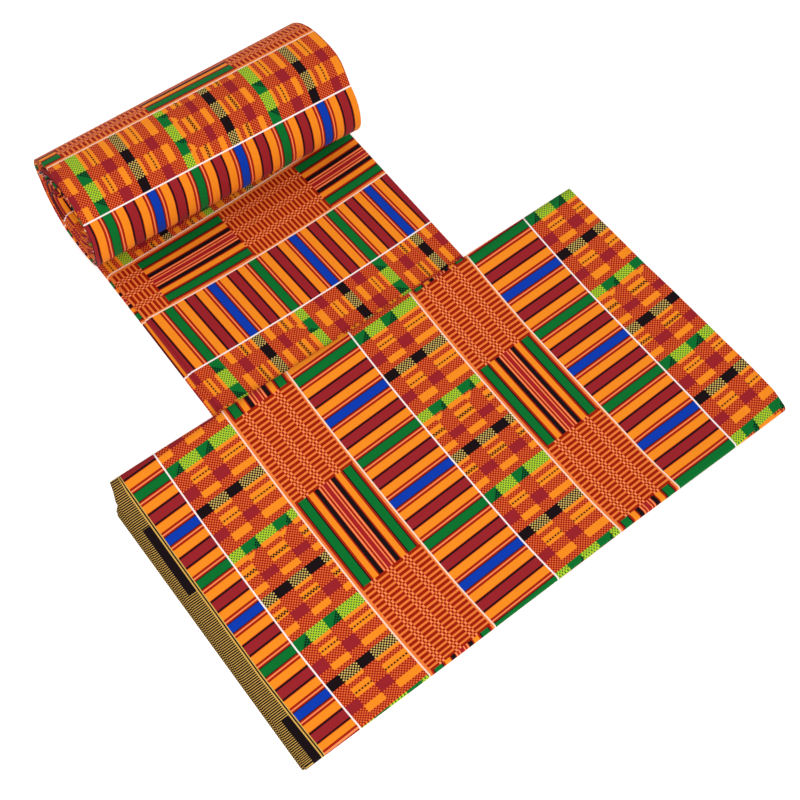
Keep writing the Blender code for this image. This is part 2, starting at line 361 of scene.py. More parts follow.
def panel_print_row(x, y):
    """Place along the print of a point on the panel's top layer, in metres."""
    rows = []
    for index in range(len(GREEN_ROWS)):
        crossing = through([(place, ys[index]) for place, ys in GREEN_ROWS], x)
        rows.append((crossing, index * ROW_PERIOD * MILLIMETRE))
    return through(rows, y) + pull(ALONG_PULLS, x, y)


def panel_columns(panel):
    """Places across the panel: (share of the selvage or None, x)."""
    columns = [(share, 0.0) for share in (1.0, 0.75, 0.5, 0.25)]
    return columns + [(None, x) for x in spaced(0.0, panel.width, panel.columns)]


def panel_grid(panel, strip):
    """Points and print places of the doubled cloth, from one selvage round the centre fold to the other."""
    columns = panel_columns(panel)
    middles = {x: with_normals(panel_line(x, panel, strip)) for _, x in columns}
    turn = [math.pi * step / panel.fold_steps for step in range(1, panel.fold_steps)]
    sides = [(selvage, x, 0.0) for selvage, x in columns]
    sides += [(None, panel.width, angle) for angle in turn]
    sides += [(selvage, x, math.pi) for selvage, x in columns[::-1]]
    points, places = [], []
    for selvage, x, angle in sides:
        line = middles[x]
        fold = next(row["run"] for row in line if row["layer"] >= TOP_FOLD)
        row_points, row_places = [], []
        for row in line:
            offset = PLY_OFFSET + PLY_OFFSET_PUFF * puff(x, row["y"], panel)
            short = layer_value("short", row["layer"]) * smooth(panel.width - SHORT_REACH, panel.width, x)
            bow = table_value(RIGHT_BOWS, 1, row["y"]) * MILLIMETRE
            short -= bow * smooth(panel.width - BOW_REACH, panel.width, x)
            across = x - short + offset * math.sin(angle)
            if selvage:
                across = -selvage * selvage_reach(row["layer"], row["y"], panel)
            lift = offset * math.cos(angle)
            row_points.append((
                across,
                row["y"] + lift * row["normal"][0],
                row["z"] + lift * row["normal"][1],
            ))
            weft = panel_weft(x, row["y"]) - (selvage * SELVAGE if selvage else 0.0)
            if angle > math.pi / 2:
                weft = PRINT_WIDTH * MILLIMETRE - weft
            if row["layer"] > TOP_FOLD:
                warp = panel_print_row(x, row["y"])
            else:
                warp = panel_print_row(x, 0.0) + row["run"] - fold
            row_places.append((weft, warp))
        points.append(row_points)
        places.append(row_places)
    return points, places


# The outer turn bulges forward above its foot, near its right end: metres, how fast that fades to the
# left, and the turns where the bulge starts, is full, starts to end and ends
ROLL_BULGE = 0.0048
BULGE_POWER = 3.0
BULGE_TURNS = (0.58, 0.78, 0.90, 1.04)

# The roll's back and top lean the other way at its two ends: metres, and the turns where that is
# greatest and where it has set in
ROLL_TWIST = 0.0032
TWIST_TURN = 0.36
TWIST_FULL = 0.12


def twist(turn, share):
    """How far the roll's back and top lie back from their even place, at a share of the strip's width."""
    weight = 0.5 + 0.5 * math.cos(2 * math.pi * (turn - TWIST_TURN))
    return ROLL_TWIST * (2 * share - 1) * weight * smooth(0.0, TWIST_FULL, turn)


def bulge(turn, share):
    """How far the roll bulges towards the panel, at a turn and a share of the strip's width."""
    start, full, still, end = BULGE_TURNS
    return ROLL_BULGE * share ** BULGE_POWER * smooth(start, full, turn) * (1.0 - smooth(still, end, turn))


def roll_point(turn, strip):
    """Outer face of the wound strip after a number of turns: its y and z and the direction inwards."""
    angle = 2 * math.pi * turn - math.pi / 2
    depth = turn * ROLL_PITCH
    half_width = (strip.roll_width + ROLL_PITCH * ROLL_SIDE_LOOSENESS) / 2 - depth * ROLL_SIDE_LOOSENESS
    half_height = (strip.roll_height + ROLL_PITCH / 2 + ROLL_FLAT_DROP) / 2 - depth
    middle = (strip.roll_height + ROLL_PITCH / 2 + ROLL_FLAT_DROP) / 2 - ROLL_FLAT_DROP
    y = ROLL_CENTRE + half_width * math.cos(angle)
    z = max(depth, middle + half_height * math.sin(angle))
    normal = (half_height * math.cos(angle), half_width * math.sin(angle))
    length = math.hypot(*normal)
    if z <= depth + 1e-9:
        return (y, z), (0.0, 1.0)
    return (y, z), (-normal[0] / length, -normal[1] / length)


def strip_stations(strip):
    """One row for each section of the strip: its place, its direction, its height and its run."""
    rows = []
    for y in spaced(STRIP_START, ROLL_CENTRE, strip.stations)[:-1]:
        skew = smooth(FLAT_FROM, ROLL_CENTRE, y)
        rows.append({"point": (y, 0.0), "inward": (0.0, 1.0), "share": strip_share(y), "skew": skew,
                     "turn": 0.0})
    steps = int(strip.turns * strip.stations_per_turn)
    for index in range(steps + 1):
        turn = index / strip.stations_per_turn
        point, inward = roll_point(turn, strip)
        share = blend(1.0, ROLL_LOOSENESS, smooth(0.0, LOOSE_FROM_TURN, turn))
        rows.append({"point": point, "inward": inward, "share": share, "skew": 1.0, "turn": turn})
    run = 0.0
    for before, row in zip([rows[0]] + rows, rows):
        run += math.dist(before["point"], row["point"])
        row["run"] = run
    return rows


def strip_section(strip, y):
    """Line of the strip's plies across, at y on the floor: rows of across, height and ply."""
    at_roll = smooth(LEFT_ENDS_FROM, LEFT_ENDS_TO, y)
    left_ends = [blend(*ends, at_roll) for ends in zip(STRIP_LEFT_ENDS, STRIP_LEFT_ENDS_AT_ROLL)]
    spacing = strip.height / STRIP_PLIES
    radius = spacing / 2
    line = []
    for ply in range(STRIP_PLIES):
        middle = (ply + 0.5) * spacing
        left = left_ends[ply] * MILLIMETRE
        right = strip.width - STRIP_RIGHT_ENDS[ply] * MILLIMETRE
        xs = [blend(left, right, share) for share in strip_shares(strip)]
        forward = ply % 2 == 0
        line += [(x, middle, ply) for x in (xs if forward else xs[::-1])]
        if ply < STRIP_PLIES - 1:
            side = 1 if forward else -1
            for step in range(1, strip.fold_steps):
                angle = math.pi * (step / strip.fold_steps - 0.5)
                x = (right if forward else left) + side * radius * math.cos(angle)
                line.append((x, middle + radius + radius * math.sin(angle), ply + step / strip.fold_steps))
    return line


def strip_shares(strip):
    """Shares of the way across at which the strip has a row of points, closer near its ends."""
    count = strip.columns
    return [0.5 - 0.5 * math.cos(math.pi * step / (count - 1)) for step in range(count)]


# Printed lines that cross the strip: the length of print from the first line in millimetres, and where
# the line lies at the strip's left edge, in its middle and at its right edge. On the floor that is
# the distance from the panel's near fold in metres, and on the roll it is in turns
FLOOR_LINES = (
    (0.0, (0.3808, 0.3772, 0.3804)),
    (STRIPES_WIDTH, (0.4585, 0.4532, 0.4589)),
    (STRIPES_WIDTH + PATCHES_WIDTH, (0.5244, 0.5255, 0.5320)),
)
ROLL_LINES = (
    (REPEAT + STRIPES_WIDTH + PATCHES_WIDTH, 0.443),
    (2 * REPEAT, 0.625),
)

# Where a green row lies from the left edge in metres, and the scale of the print, on the strip's two faces
TOP_GREEN = 0.0314
TOP_SKEW = 0.038
TOP_SKEW_FROM = 0.034
TOP_SCALE = 1.028
UNDER_GREEN = 0.2199
UNDER_SCALE = 1.044

# Places along the print of the two left folds inside the strip, in metres
FOLD_PRINTS = {1.5: -0.3893, 3.5: -1.0470}
TOP_REPEATS = -8
STRIP_REPEATS = 13


def run_at_turn(stations, turn):
    """Run of the strip at a number of turns of the roll."""
    for before, row in zip(stations, stations[1:]):
        if before["turn"] <= turn <= row["turn"] and row["turn"] > 0.0:
            share = (turn - before["turn"]) / (row["turn"] - before["turn"])
            return blend(before["run"], row["run"], share)
    return stations[-1]["run"]


def line_runs(stations, share, strip):
    """Runs and lengths of print of the printed lines, at a share of the strip's width."""
    knots = []
    for printed, ys in FLOOR_LINES:
        y = through(list(zip((0.0, 0.5, 1.0), ys)), share)
        lean = math.tan(ROLL_SKEW) * strip.width * (0.5 - share) * smooth(FLAT_FROM, ROLL_CENTRE, y)
        knots.append((y - lean - STRIP_START, printed * MILLIMETRE))
    for printed, turn in ROLL_LINES:
        knots.append((run_at_turn(stations, turn) + twist(turn, share), printed * MILLIMETRE))
    first, last = knots[0], knots[-1]
    return [(first[0] - 1.0, first[1] - 1.0)] + knots + [(last[0] + 2.0, last[1] + 2.0)]


def between(knots, place):
    """Value at a place on the straight lines through (place, value) knots."""
    for before, after in zip(knots, knots[1:]):
        if place <= after[0]:
            return blend(before[1], after[1], (place - before[0]) / (after[0] - before[0]))
    return knots[-1][1]


def strip_print_rows(section, run):
    """Places along the print of a section of the strip: measured on its faces, even between its folds."""
    knots = []
    lengths = []
    length = 0.0
    for before, row in zip([section[0]] + section, section):
        length += math.dist(before[:2], row[:2])
        lengths.append(length)
        across, _, ply = row
        if ply == 0:
            knots.append((length, (UNDER_GREEN - across) * UNDER_SCALE))
        elif ply == STRIP_PLIES - 1:
            lean = TOP_SKEW * (run - TOP_SKEW_FROM)
            repeats = TOP_REPEATS * FULL_PERIOD * MILLIMETRE
            knots.append((length, (across - TOP_GREEN + lean) * TOP_SCALE + repeats))
        elif ply in FOLD_PRINTS:
            knots.append((length, FOLD_PRINTS[ply]))
    return [between(knots, length) for length in lengths]


def strip_grid(strip):
    """Points and print places of the folded strip, from its hidden start to the roll's core."""
    stations = strip_stations(strip)
    first_line = FLOOR_LINES[0][1][1] - STRIP_START
    points, places = [], []
    for station in stations:
        section = strip_section(strip, station["point"][0] if station["turn"] == 0.0 else ROLL_CENTRE)
        print_rows = strip_print_rows(section, station["run"] - first_line)
        row_points, row_places = [], []
        for (across, height, _), print_row in zip(section, print_rows):
            share = across / strip.width
            sideways = blend(
                table_value(SLIP_TABLE, 1, station["turn"]),
                table_value(SLIP_TABLE, 2, station["turn"]), share) * MILLIMETRE
            back = math.tan(ROLL_SKEW) * (strip.width / 2 - across) * station["skew"]
            back += twist(station["turn"], share) - bulge(station["turn"], share)
            lift = height * station["share"]
            row_points.append((
                STRIP_LEFT + across + sideways,
                station["point"][0] + lift * station["inward"][0] + back,
                station["point"][1] + lift * station["inward"][1],
            ))
            printed = between(line_runs(stations, share, strip), station["run"])
            weft = (SELVAGE_TO_CHECKS + STRIP_REPEATS * REPEAT) * MILLIMETRE - printed
            row_places.append((weft, print_row))
        points.append(row_points)
        places.append(row_places)
    return points, places


def cloth_object(name, points, places, thickness, material):
    """A sheet over a grid of points, with the print's places in its cloth map, given its thickness."""
    mesh = bpy.data.meshes.new(name)
    count = len(points[0])
    vertices = [Vector(point) - MIDDLE for row in points for point in row]
    flat_places = [place for row in places for place in row]
    faces = []
    for row in range(len(points) - 1):
        for column in range(count - 1):
            corner = row * count + column
            faces.append((corner, corner + count, corner + count + 1, corner + 1))
    mesh.from_pydata(vertices, [], faces)
    cloth_map = mesh.uv_layers.new(name=CLOTH_MAP)
    for loop in mesh.loops:
        cloth_map.data[loop.index].uv = flat_places[loop.vertex_index]
    mesh.polygons.foreach_set("use_smooth", [True] * len(mesh.polygons))
    mesh.materials.append(material)
    piece = bpy.data.objects.new(name, mesh)
    bpy.context.scene.collection.objects.link(piece)
    solid = piece.modifiers.new("cloth_thickness", "SOLIDIFY")
    solid.thickness = thickness
    solid.offset = 0.0
    return piece


def add_node(tree, kind, *inputs, output=0, **settings):
    """Add a node with its settings, link or set its inputs in order, and return one of its outputs."""
    node = tree.nodes.new(kind)
    for name, value in settings.items():
        setattr(node, name, value)
    for socket, value in zip(node.inputs, inputs):
        if isinstance(value, bpy.types.NodeSocket):
            tree.links.new(value, socket)
        elif value is not None:
            socket.default_value = value
    return node.outputs[output]


def set_sockets(shader, values):
    """Set a shader's own sockets, by their names."""
    for name, value in values.items():
        shader.inputs[name].default_value = value


MATH = "ShaderNodeMath"
RAMP = "ShaderNodeValToRGB"
MIX = "ShaderNodeMix"
COLOUR_MIX = {"data_type": "RGBA", "output": 2}

# A mix node has five other inputs between its factor and its two colours
TO_COLOURS = (None,) * 5


def fill_bands(ramp_output, bands, span, colours):
    """Set a ramp's hard bands from rows of (end, colour name); a name of None leaves a clear band."""
    ramp = ramp_output.node.color_ramp
    ramp.interpolation = "CONSTANT"
    start = 0.0
    for index, (end, name) in enumerate(bands):
        stop = ramp.elements[0] if index == 0 else ramp.elements.new(start / span)
        if index == 0:
            ramp.elements.remove(ramp.elements[1])
            stop.position = 0.0
        stop.color = colours[name] if name else (0.0, 0.0, 0.0, 0.0)
        start = end


STRIPES = (
    (4.25, "accent"), (5.1, "black"), (6.6, "dark_red"), (7.95, "salmon"), (10.3, "dark_red"),
    (18.5, "orange"), (19.2, "dark_red"), (21.0, "black"), (25.6, "maroon"),
)
LONG_PATCH = (
    (2.15, "patch_red"), (3.3, "salmon"), (5.4, "dark_red"), (6.9, "salmon"), (7.5, "dark_red"),
    (12.0, "black"), (13.2, "dark_red"), (19.1, "orange"), (21.2, "dark_red"), (22.5, "black"),
    (30.65, "green"), (31.75, "black"), (33.9, "dark_red"), (37.5, "pale_orange"),
)

# The rows of the crossing checks, from the far edge of a green row towards the near edge: where each
# row ends, in cells, and the colours of its two kinds of cell
CHECKER = ("check_red", "check_orange")
PLAIN = ("orange", "orange")
LIME = ("lime", "green")
DOTS = ("black", "orange")
GOLD = ("black", "gold")
GREEN = ("green", "green")
MAROON = ("maroon", "maroon")
BLACK = ("black", "black")
OPEN_ROWS = (
    (7, LIME), (9, PLAIN), (12, CHECKER), (14, PLAIN), (15, DOTS), (17, PLAIN), (23, CHECKER), (27, PLAIN),
    (30, CHECKER), (36, GOLD), (38, PLAIN), (41, CHECKER), (44, PLAIN), (45, DOTS), (47, PLAIN),
    (53, CHECKER), (58, PLAIN), (CELL_ROWS, CHECKER),
)
OPEN_ROWS_AFTER = (
    (6, LIME), (9, PLAIN), (12, CHECKER), (15, PLAIN), (17, DOTS), (19, PLAIN), (25, CHECKER), (29, PLAIN),
    (32, CHECKER), (38, GOLD), (40, PLAIN), (43, CHECKER), (45, PLAIN), (47, DOTS), (48, PLAIN),
    (54, CHECKER), (58, PLAIN), (CELL_ROWS, CHECKER),
)
CLOSE_ROWS = (
    (7, GREEN), (17, CHECKER), (24, MAROON), (30, CHECKER), (36, BLACK), (47, CHECKER), (53, MAROON),
    (CELL_ROWS, CHECKER),
)
CLOSE_ROWS_AFTER = (
    (6, GREEN), (20, CHECKER), (25, MAROON), (32, CHECKER), (38, BLACK), (48, CHECKER), (54, MAROON),
    (CELL_ROWS, CHECKER),
)

# The lighter cells are round dots of this radius in cells
DOT_RADIUS = 0.47

# Columns of the crossing checks: where each ends, in cells, and whether it is a close one
CELL_COLUMNS = 47
COLUMNS = ((9, 1), (21, 0), (30, 1), (CELL_COLUMNS, 0))
COLUMNS_AFTER = ((9, 0), (19, 1), (31, 0), (41, 1), (CELL_COLUMNS, 0))

# The dark triangles in the green rows and the orange wedges beside them, in millimetres
TRIANGLE = 9.4
TRIANGLE_AFTER = 6.5
WEDGE_DEPTH = 8.3
WEDGE_SLOPE = 1.2
GREEN_ROW = 11.0
FAR_OF_GREEN = 5.8

# The barred patches: rows of bars with narrow columns of small checks between them
BAR_ROWS = 39
BAR_SHARE = 1.18
SAME_KIND = 0.3
BARS = (
    (3.3, 0), (13.1, 2), (15.1, 1), (17.1, 2), (19.1, 1), (32.1, 2), (34.1, 1), (36.1, 2),
    (38.1, 1), (50.9, 2), (52.9, 1), (54.9, 2), (56.9, 1), (71.6, 2), (74.2, 0),
)

# The selvage outwards from the print, in millimetres
SELVAGE_BANDS = ((1.0, "selvage_gold"), (2.4, "black"), (3.7, "selvage_gold"), (20.0, None))
WIDEST_SELVAGE = 50.0
SELVAGE_LINES = 2.2
SELVAGE_LINE_SHARE = 0.69
BLOCK_NEAR = 3.7
BLOCK_FAR = 12.0
BLOCK_PERIOD = 220.8
BLOCK_LENGTH = 76.8
BLOCK_START = 99.0


def fill_shades(ramp_output, rows, span, highest):
    """Set a ramp's hard bands from rows of (end, shade), a shade of highest being white."""
    names = {str(shade): (*(shade / highest,) * 3, 1.0) for _, shade in rows}
    fill_bands(ramp_output, [(end, str(shade)) for end, shade in rows], span, names)


# In the functions below, add puts a node into the print's own tree
def stripes_colour(add, row, colours):
    """Stripes across the cloth, mirrored about rows that are green and blue in turn."""
    past = add(MATH, row, FAR_OF_GREEN, operation="SUBTRACT")
    away = add(MATH, past, ROW_PERIOD / 4, operation="PINGPONG")
    place = add(MATH, away, ROW_PERIOD / 4, operation="DIVIDE")
    striped = add(RAMP, place)
    fill_bands(striped, STRIPES, ROW_PERIOD / 4, {**colours, "accent": colours["green"]})
    blue = add(RAMP, place)
    fill_bands(blue, STRIPES, ROW_PERIOD / 4, {**colours, "accent": colours["blue"]})
    shifted = add(MATH, past, ROW_PERIOD / 4, operation="ADD")
    turn = add(MATH, shifted, ROW_PERIOD, operation="FLOORED_MODULO")
    is_blue = add(MATH, turn, ROW_PERIOD / 2, operation="GREATER_THAN")
    return add(MIX, is_blue, *TO_COLOURS, striped, blue, **COLOUR_MIX)


def long_patch_colour(add, across, colours):
    """Long patches of stripes along the cloth, mirrored about their middle."""
    off = add(MATH, across, PATCHES_WIDTH / 2, operation="SUBTRACT")
    away = add(MATH, off, operation="ABSOLUTE")
    place = add(MATH, away, LONG_PATCH[-1][0], operation="DIVIDE")
    striped = add(RAMP, place)
    fill_bands(striped, LONG_PATCH, LONG_PATCH[-1][0], colours)
    return striped


def bars_colour(add, across, row, colours):
    """Rows of short bars, with narrow columns of small checks between them."""
    place = add(MATH, across, PATCHES_WIDTH, operation="DIVIDE")
    kinds = add(RAMP, place)
    fill_shades(kinds, BARS, PATCHES_WIDTH, 2)
    kind = add(MATH, kinds, 2.0, operation="MULTIPLY")
    count = add(MATH, row, BAR_ROWS / ROW_PERIOD, operation="MULTIPLY")
    phase = add(MATH, count, 2.0, operation="FLOORED_MODULO")
    even = add(MATH, phase, BAR_SHARE, operation="LESS_THAN")
    raised = add(MATH, kind, 1.0, operation="SUBTRACT")
    dark = add(MATH, raised, even, SAME_KIND, operation="COMPARE")
    small = add(MATH, kind, 1.0, SAME_KIND, operation="COMPARE")
    light = add(MIX, small, *TO_COLOURS, colours["pale_orange"], colours["salmon"], **COLOUR_MIX)
    return add(MIX, dark, *TO_COLOURS, light, colours["bar_red"], **COLOUR_MIX)


def rows_colour(add, place, odd, rows, colours):
    """Rows of cells in two colours, by their place along the cloth."""
    shades = []
    for side in (0, 1):
        ramp = add(RAMP, place)
        fill_bands(ramp, [(end, pair[side]) for end, pair in rows], CELL_ROWS, colours)
        shades.append(ramp)
    return add(MIX, odd, *TO_COLOURS, *shades, **COLOUR_MIX)


def to_right_edge(add, across, columns):
    """Distance from a place across to the right edge of its close column."""
    edges = [end * CELL for end, close in columns if close]
    past = add(MATH, across, edges[0], operation="GREATER_THAN")
    edge = add(MATH, past, edges[1] - edges[0], edges[0], operation="MULTIPLY_ADD")
    return add(MATH, edge, across, operation="SUBTRACT")


def checks_colour(add, across, row, after, colours):
    """Crossing checks on a grid of small square cells, in two layouts that follow each other."""
    cell_across = add(MATH, across, 1.0 / CELL, operation="MULTIPLY")
    column = add(MATH, cell_across, operation="FLOOR")
    cell_row = add(MATH, row, 1.0 / CELL, operation="MULTIPLY")
    number = add(MATH, cell_row, operation="FLOOR")
    both = add(MATH, column, number, operation="ADD")
    parity = add(MATH, both, 2.0, operation="FLOORED_MODULO")
    centre_across = add(MATH, column, CELL, CELL / 2, operation="MULTIPLY_ADD")
    centre_row = add(MATH, number, CELL, CELL / 2, operation="MULTIPLY_ADD")
    off_across = add(MATH, across, centre_across, operation="SUBTRACT")
    off_row = add(MATH, row, centre_row, operation="SUBTRACT")
    square = add(MATH, off_row, off_row, operation="MULTIPLY")
    distance = add(MATH, off_across, off_across, square, operation="MULTIPLY_ADD")
    in_dot = add(MATH, distance, (CELL * DOT_RADIUS) ** 2, operation="LESS_THAN")
    odd = add(MATH, parity, in_dot, operation="MULTIPLY")
    row_place = add(MATH, centre_row, ROW_PERIOD, operation="DIVIDE")
    column_place = add(MATH, centre_across, CELL_COLUMNS * CELL, operation="DIVIDE")
    in_green = add(MATH, centre_row, GREEN_ROW, operation="LESS_THAN")
    layouts = []
    for open_rows, close_rows, columns, triangle in (
            (OPEN_ROWS, CLOSE_ROWS, COLUMNS, TRIANGLE),
            (OPEN_ROWS_AFTER, CLOSE_ROWS_AFTER, COLUMNS_AFTER, TRIANGLE_AFTER)):
        open_colour = rows_colour(add, row_place, odd, open_rows, colours)
        close_colour = rows_colour(add, row_place, odd, close_rows, colours)
        edge = to_right_edge(add, centre_across, columns)
        reach = add(MATH, centre_row, triangle / GREEN_ROW, operation="MULTIPLY")
        near = add(MATH, edge, reach, operation="LESS_THAN")
        corner = add(MATH, near, in_green, operation="MULTIPLY")
        shade = add(MIX, odd, *TO_COLOURS, colours["dark_green"], colours["green"], **COLOUR_MIX)
        close_colour = add(MIX, corner, *TO_COLOURS, close_colour, shade, **COLOUR_MIX)
        if triangle == TRIANGLE_AFTER:
            below = add(MATH, centre_row, GREEN_ROW, operation="SUBTRACT")
            limit = add(MATH, below, WEDGE_SLOPE, triangle, operation="MULTIPLY_ADD")
            far = add(MATH, edge, limit, operation="GREATER_THAN")
            short = add(MATH, centre_row, GREEN_ROW + WEDGE_DEPTH, operation="LESS_THAN")
            under = add(MATH, 1.0, in_green, operation="SUBTRACT")
            beside = add(MATH, far, short, operation="MULTIPLY")
            wedge = add(MATH, beside, under, operation="MULTIPLY")
            close_colour = add(MIX, wedge, *TO_COLOURS, close_colour, colours["orange"], **COLOUR_MIX)
        kinds = add(RAMP, column_place)
        fill_shades(kinds, columns, CELL_COLUMNS, 1)
        layouts.append(add(MIX, kinds, *TO_COLOURS,
                           open_colour, close_colour, **COLOUR_MIX))
    return add(MIX, after, *TO_COLOURS, *layouts, **COLOUR_MIX)


def selvage_colour(add, outward, warp, colours):
    """Gold woven selvage with fine black lines across it, and plain black blocks at intervals."""
    place = add(MATH, outward, SELVAGE_BANDS[-1][0], operation="DIVIDE")
    bands = add(RAMP, place)
    fill_bands(bands, SELVAGE_BANDS, SELVAGE_BANDS[-1][0], colours)
    step = add(MATH, warp, SELVAGE_LINES, operation="FLOORED_MODULO")
    line = add(MATH, step, SELVAGE_LINES * SELVAGE_LINE_SHARE, operation="LESS_THAN")
    ground = add(MIX, line, *TO_COLOURS, colours["selvage_gold"], colours["black"], **COLOUR_MIX)
    far = add(MATH, outward, BLOCK_FAR, operation="LESS_THAN")
    near = add(MATH, outward, BLOCK_NEAR, operation="GREATER_THAN")
    wide = add(MATH, far, near, operation="MULTIPLY")
    moved = add(MATH, warp, BLOCK_START, operation="SUBTRACT")
    along = add(MATH, moved, BLOCK_PERIOD, operation="FLOORED_MODULO")
    long = add(MATH, along, BLOCK_LENGTH, operation="LESS_THAN")
    block = add(MATH, wide, long, operation="MULTIPLY")
    blocked = add(MIX, block, *TO_COLOURS, ground, colours["black"], **COLOUR_MIX)
    clear = bands.node.outputs["Alpha"]
    return add(MIX, clear, *TO_COLOURS, blocked, bands, **COLOUR_MIX)


# The cotton: dye taken up a little unevenly, and a thin skin of wax. Real threads lie 0.36 mm apart,
# and the weave is drawn twice as coarse, so that it just shows. The weave is also painted into the
# colour: raised threads lighter and the hollows between them darker, as painted shade
WEAVE_COARSENESS = 2.0
WEAVE_PAINTED_SHADE = 0.05
WEAVE_STRENGTH = 0.4
WEAVE_RELIEF = 0.2
DYE_PATCHES = 45.0
DYE_DETAIL = 4.0
DYE_VARIATION = 0.035
WAX_VARIATION = 0.14
WAX_SHINE = 0.06
COTTON_SHEEN = 0.03
SHEEN_ROUGHNESS = 0.5


def woven_height(add, weft, warp, thread):
    """Height of a plain weave, -1 to 1: each thread passes over one thread and under the next."""
    waves = []
    for place in (weft, warp):
        spacing = thread * WEAVE_COARSENESS * METRE_IN_MM
        angle = add(MATH, place, math.pi / spacing, operation="MULTIPLY")
        waves.append(add(MATH, angle, operation="SINE"))
    return add(MATH, *waves, operation="MULTIPLY")


def wax_print_cotton(settings):
    """Plain-woven cotton with a wax print: dyes deep in the thread, and a faint waxy sheen on matt cloth."""
    colours = {name: (*getattr(settings, name), 1.0) for name in WAX_PRINT}
    material = bpy.data.materials.new("wax_print_cotton")
    material.use_nodes = True
    tree = material.node_tree
    add = partial(add_node, tree)
    shader = tree.nodes["Principled BSDF"]
    place = add("ShaderNodeUVMap", uv_map=CLOTH_MAP)
    split = add("ShaderNodeSeparateXYZ", place)
    weft = add(MATH, split, METRE_IN_MM, operation="MULTIPLY")
    warp = add(MATH, split.node.outputs[1], METRE_IN_MM, operation="MULTIPLY")

    start = add(MATH, FAR_OF_GREEN, warp, operation="SUBTRACT")
    row_full = add(MATH, start, FULL_PERIOD, operation="FLOORED_MODULO")
    after = add(MATH, row_full, ROW_PERIOD, operation="GREATER_THAN")
    row = add(MATH, row_full, ROW_PERIOD, operation="FLOORED_MODULO")

    moved = add(MATH, weft, SELVAGE_TO_CHECKS, operation="SUBTRACT")
    across = add(MATH, moved, REPEAT, operation="FLOORED_MODULO")
    past_checks = add(MATH, across, CHECKS_WIDTH, operation="SUBTRACT")
    in_patches = add(MATH, past_checks, 0.0, operation="GREATER_THAN")
    in_stripes = add(MATH, past_checks, PATCHES_WIDTH, operation="GREATER_THAN")

    checks = checks_colour(add, across, row, after, colours)
    bars = bars_colour(add, past_checks, row, colours)
    long_patch = long_patch_colour(add, past_checks, colours)
    patches = add(MIX, after, *TO_COLOURS, bars, long_patch, **COLOUR_MIX)
    stripes = stripes_colour(add, row_full, colours)
    printed = add(MIX, in_patches, *TO_COLOURS, checks, patches, **COLOUR_MIX)
    printed = add(MIX, in_stripes, *TO_COLOURS, printed, stripes, **COLOUR_MIX)

    for line_place, name in PRINTED_LINES:
        on_line = add(MATH, across, line_place, LINE_WIDTH / 2, operation="COMPARE")
        printed = add(MIX, on_line, *TO_COLOURS, printed, colours[name], **COLOUR_MIX)

    before = add(MATH, weft, -1.0, operation="MULTIPLY")
    beyond = add(MATH, weft, PRINT_WIDTH, operation="SUBTRACT")
    beyond_limit = add(MATH, beyond, WIDEST_SELVAGE, operation="LESS_THAN")
    beyond_edge = add(MATH, beyond, beyond_limit, operation="MULTIPLY")
    outward = add(MATH, before, beyond_edge, operation="MAXIMUM")
    outside = add(MATH, outward, 0.0, operation="GREATER_THAN")
    selvage = selvage_colour(add, outward, warp, colours)
    printed = add(MIX, outside, *TO_COLOURS, printed, selvage, **COLOUR_MIX)
    weave = woven_height(add, weft, warp, settings.thread)
    patchy = add("ShaderNodeTexNoise", place, None, DYE_PATCHES, DYE_DETAIL)
    uneven = add(MATH, patchy, 2 * DYE_VARIATION, 1.0 - DYE_VARIATION, operation="MULTIPLY_ADD")
    # Painted shade of the weave, lighter on raised threads and darker in the hollows, over the uneven dye
    shade = add(MATH, weave, WEAVE_PAINTED_SHADE, uneven, operation="MULTIPLY_ADD")
    dyed = add("ShaderNodeHueSaturation", None, None, shade, None, printed)
    tree.links.new(dyed, shader.inputs["Base Color"])
    least_waxy = settings.roughness - WAX_VARIATION / 2
    waxy = add(MATH, patchy, WAX_VARIATION, least_waxy, operation="MULTIPLY_ADD")
    tree.links.new(waxy, shader.inputs["Roughness"])
    relief = settings.thread * WEAVE_COARSENESS * WEAVE_RELIEF
    threads = add("ShaderNodeBump", WEAVE_STRENGTH, relief, None, weave)
    tree.links.new(threads, shader.inputs["Normal"])

    set_sockets(shader, {"Metallic": 0.0, "Specular IOR Level": WAX_SHINE,
                         "Sheen Weight": COTTON_SHEEN, "Sheen Roughness": SHEEN_ROUGHNESS})
    return material


def setting(label, description, default, unit="LENGTH", **limits):
    """A number that can be changed in the sidebar, a length if nothing else is said."""
    return FloatProperty(name=label, description=description, default=default, unit=unit, **limits)


def count_setting(label, description, default, least):
    """A whole number that can be changed in the sidebar."""
    return IntProperty(name=label, description=description, default=default, min=least)


class ClothPanelSettings(PropertyGroup):
    width: setting("Width", "From the start of the print to the centre fold", 0.5518)
    depth: setting("Depth", "From the near fold to the far fold", 0.3215)
    height_in_middle: setting("Height in the middle", "Height of the flat middle", 0.0088)
    height_at_folds: setting("Height at the folds", "Height along the folded sides", 0.0155)
    rows: count_setting("Rows", "Points along each layer", 34, 8)
    columns: count_setting("Columns", "Points across the panel", 46, 8)
    fold_steps: count_setting("Fold steps", "Steps round each fold", 6, 3)


class ClothStripSettings(PropertyGroup):
    width: setting("Width", "Width of the folded strip", 0.3067)
    height: setting("Height", "Height of the strip where it lies on the floor", 0.0072)
    roll_width: setting("Roll width", "Depth of the roll on the floor", 0.136)
    roll_height: setting("Roll height", "Height of the roll", 0.1065)
    turns: setting("Turns", "Turns of the strip in the roll", 3.4, "NONE")
    stations: count_setting("Stations", "Sections along the floor", 44, 8)
    stations_per_turn: count_setting("Stations in a turn", "Sections in a turn of the roll", 48, 12)
    columns: count_setting("Columns", "Points across each ply", 16, 4)
    fold_steps: count_setting("Fold steps", "Steps round each fold", 4, 2)


class ClothPrintSettings(PropertyGroup):
    thickness: setting("Cloth thickness", "Thickness of one ply", 0.0004)
    thread: setting("Thread", "Spacing of the threads", 0.00036, precision=5)
    roughness: setting("Roughness", "Roughness of the printed cloth", 0.7, "NONE", min=0.0, max=1.0)


